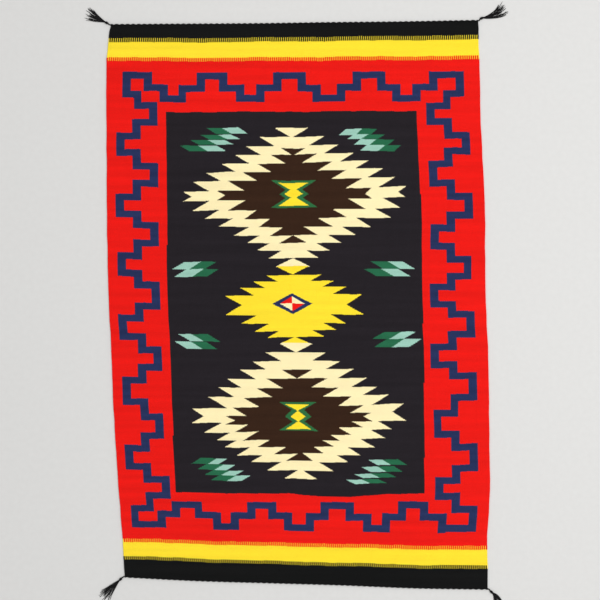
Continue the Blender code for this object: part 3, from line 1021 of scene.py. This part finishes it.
def tasselStrand(look, middle, strand, random):
    share = strand / (tasselYarn["strands"] - 1)
    fanShare = min(max(share ** look["crowd"] + random.normal(0, tasselYarn["fanSpread"]), 0), 1)
    first = look["fan"][0] + (look["fan"][1] - look["fan"][0]) * fanShare
    length = look["longest"] * random.uniform(tasselYarn["shortestShare"], 1.0)
    bend = math.radians(look["curl"] + random.normal(0, tasselYarn["wander"]))
    phase = random.uniform(0, 2 * math.pi)
    # Its place in the neck and knot, then the free strand.
    around = 2 * math.pi * ((strand * tasselYarn["goldenShare"]) % 1.0)
    ring = tasselYarn["bundle"] * math.sqrt(random.uniform(0.05, 1.0))
    spots = []
    for index, (spread, lift) in enumerate(tasselYarn["bundleShape"]):
        heading = math.atan2(*(middle[min(index + 1, 5)] - middle[max(index - 1, 0)])[::-1])
        across = np.array([-math.sin(heading), math.cos(heading)])
        side = ring * spread * math.cos(around)
        up = tasselYarn["height"] * lift + ring * spread * math.sin(around)
        spots.append((*(middle[index] + across * side), max(up, tasselYarn["lowest"])))
    place = np.array(spots[-1][:2])
    level = spots[-1][2]
    pile = tasselYarn["pile"] * random.uniform(0, 1) * (1 if strand % 2 else tasselYarn["lowPile"])
    rest = tasselYarn["rest"] + pile
    count = tasselYarn["points"]
    step = length / count
    for index in range(1, count + 1):
        along = index / count
        sway = tasselYarn["waveSize"] * math.sin(tasselYarn["waves"] * along + phase) * along
        heading = math.radians(first) + bend * along + sway
        place = place + step * np.array([math.cos(heading), math.sin(heading)])
        height = rest + (level - rest) * max(0.0, 1 - along * tasselYarn["settling"]) ** 2
        spots.append((place[0], place[1], height))
    spots = np.array(spots)
    fat = np.ones(len(spots))
    fat[-len(tasselYarn["tips"]):] = tasselYarn["tips"]
    run = np.concatenate([[0], np.cumsum(np.linalg.norm(np.diff(spots, axis=0), axis=1))])
    return spots, run / tasselYarn["turnSpacing"], fat


def knotTurns(middle):  # the knot's own turns round the strands
    turns = []
    steps = int(tasselKnot["wraps"] * tasselKnot["pointsPerWrap"])
    axis = (middle[5] - middle[2]) / np.linalg.norm(middle[5] - middle[2])
    across = np.array([-axis[1], axis[0]])
    for index in range(steps + 1):
        share = index / steps
        angle = 2 * math.pi * tasselKnot["wraps"] * share + tasselKnot["firstAngle"]
        bulge = 1 - tasselKnot["bulge"] * (2 * share - 1) ** 2
        place = middle[2] + axis * (tasselKnot["turnsFrom"] + tasselKnot["turnsLength"] * share)
        place = place + across * tasselKnot["radius"] * tasselKnot["breadth"] * bulge * math.cos(angle)
        height = tasselKnot["height"] + tasselKnot["radius"] * tasselKnot["lift"] * bulge * math.sin(angle)
        turns.append((*place, height))
    return np.array(turns), np.arange(len(turns)) * 1.0, np.full(len(turns), tasselKnot["fat"])


for corner, look in tassels.items():
    tasselRandom = np.random.default_rng(tasselYarn["seed"] + len(corner) + int(look["fan"][0]) % 7)
    middle = tasselMiddle(look)
    lines = [tasselStrand(look, middle, strand, tasselRandom) for strand in range(tasselYarn["strands"])]
    lines.append(knotTurns(middle))
    tassel = sweptPiece(
        "tassel_yarns_" + corner, lines, "tassel",
        tasselYarn["width"], tasselYarn["width"], tasselYarn["sides"],
    )
    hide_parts("tassel_" + corner)
print("stage 7: tassels knotted and fanned")

# Plain pale floor, soft light and the camera straight above.
studio = {
    "floor": (0.60, 0.596, 0.585),
    "floorSize": 40.0,
    "floorDrop": 0.0002,
    "floorRoughness": 0.85,
    "floorSpecular": 0.15,
    "floorGrain": (60.0, 5.0),  # scale and detail
    "floorShade": (0.985, 1.015),
    "keyPower": 195.0,
    "keySize": 4.5,
    "keyPlace": (2.0, 0.4, 4.9),
    "worldLight": 0.72,
    "sensor": 36.0,
    "cameraHeight": 6.0,
    "viewWidth": 1.95,
    "viewCentre": (0.008125, 0.014625),
}


def makeFloor():
    shape = bmesh.new()
    bmesh.ops.create_grid(shape, x_segments=2, y_segments=2, size=studio["floorSize"] / 2)
    for vertex in shape.verts:
        vertex.co.z = -studio["floorDrop"]
    mesh = bpy.data.meshes.new("floor")
    shape.to_mesh(mesh)
    shape.free()
    floor = bpy.data.objects.new("floor", mesh)
    bpy.context.scene.collection.objects.link(floor)
    material = newMaterial("pale_floor")
    tree = material.node_tree
    output = addNode(tree, "ShaderNodeOutputMaterial")
    shader = addNode(tree, "ShaderNodeBsdfPrincipled")
    shader.inputs["Roughness"].default_value = studio["floorRoughness"]
    shader.inputs["Specular IOR Level"].default_value = studio["floorSpecular"]
    place = addNode(tree, "ShaderNodeTexCoord")
    grain = addNode(tree, "ShaderNodeTexNoise")
    grain.inputs["Scale"].default_value, grain.inputs["Detail"].default_value = studio["floorGrain"]
    shade = addNode(tree, "ShaderNodeMapRange")
    span = (*woolSurface["noiseRange"], *studio["floorShade"])
    for socket, value in zip(("From Min", "From Max", "To Min", "To Max"), span):
        shade.inputs[socket].default_value = value
    tint = addNode(tree, "ShaderNodeHueSaturation")
    tint.inputs["Color"].default_value = (*studio["floor"], 1.0)
    joinNodes(tree, (
        (place, "Object", grain, "Vector"),
        (grain, "Fac", shade, "Value"),
        (shade, "Result", tint, "Value"),
        (tint, "Color", shader, "Base Color"),
        (shader, "BSDF", output, "Surface"),
    ))
    mesh.materials.append(material)
    return floor


makeFloor()
world = bpy.data.worlds.new("studio")
world.use_nodes = True
world.node_tree.nodes["Background"].inputs["Color"].default_value = (1.0, 1.0, 1.0, 1.0)
world.node_tree.nodes["Background"].inputs["Strength"].default_value = studio["worldLight"]
bpy.context.scene.world = world
keyData = bpy.data.lights.new("key", "AREA")
keyData.energy = studio["keyPower"]
keyData.size = studio["keySize"]
key = bpy.data.objects.new("key", keyData)
key.location = studio["keyPlace"]
key.rotation_euler = (-Vector(studio["keyPlace"])).to_track_quat("-Z", "Y").to_euler()
bpy.context.scene.collection.objects.link(key)
cameraData = bpy.data.cameras.new("camera")
cameraData.sensor_width = studio["sensor"]
cameraData.lens = studio["sensor"] * studio["cameraHeight"] / studio["viewWidth"]
camera = bpy.data.objects.new("camera", cameraData)
camera.location = (
    studio["viewCentre"][0] + moveX, studio["viewCentre"][1] + moveY, studio["cameraHeight"]
)
bpy.context.scene.collection.objects.link(camera)
bpy.context.scene.camera = camera
bpy.context.scene.view_settings.view_transform = "Standard"
print("stage 8: floor, light and camera placed")
